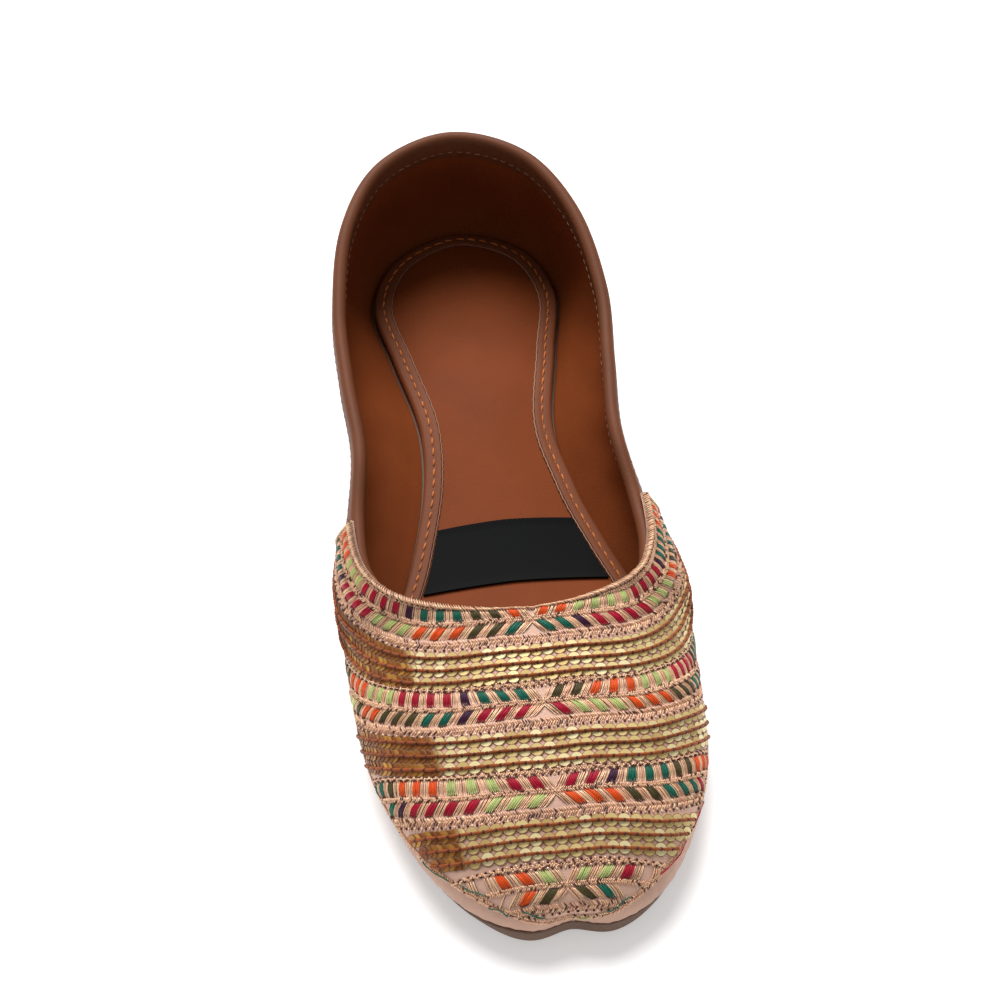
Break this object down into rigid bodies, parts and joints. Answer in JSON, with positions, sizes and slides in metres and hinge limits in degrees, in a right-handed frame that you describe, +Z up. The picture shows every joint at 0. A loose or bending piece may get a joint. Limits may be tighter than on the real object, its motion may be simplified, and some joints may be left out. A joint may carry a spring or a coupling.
{
  "type": "mojari shoe",
  "caption": "Flat slip-on mojari with a notched round toe, an embroidered metallic vamp, a soft leather back with a bound collar, a padded insole and a thin sole with a low heel.",
  "frame": {"origin": "on the floor, under the middle of the shoe's bounding box", "axes": "+Z up, toe toward -Y, heel toward +Y, +X the inner side of a right foot"},
  "size_m": [0.0934, 0.2437, 0.0549],
  "materials": {
    "sole": "dark brown, satin, cut edge",
    "heel": "dark brown, satin",
    "upper_leather": "smooth tan-brown leather, satin",
    "vamp_metallic": "rose-gold metallic leather under dense embroidery and sequins",
    "binding_leather": "folded brown leather tape, satin",
    "insole_leather": "smooth orange-brown leather over padding",
    "rim_leather": "brown leather strip, stitched",
    "ribbon_weave": "black twill ribbon, left plain"
  },
  "bodies": {
    "root": {"outsole": "sole", "heel": "heel", "upper": "upper_leather", "vamp": "vamp_metallic", "collar_binding": "binding_leather", "insole": "insole_leather", "insole_rim": "rim_leather", "ribbon": "ribbon_weave"}
  },
  "joints": []
}
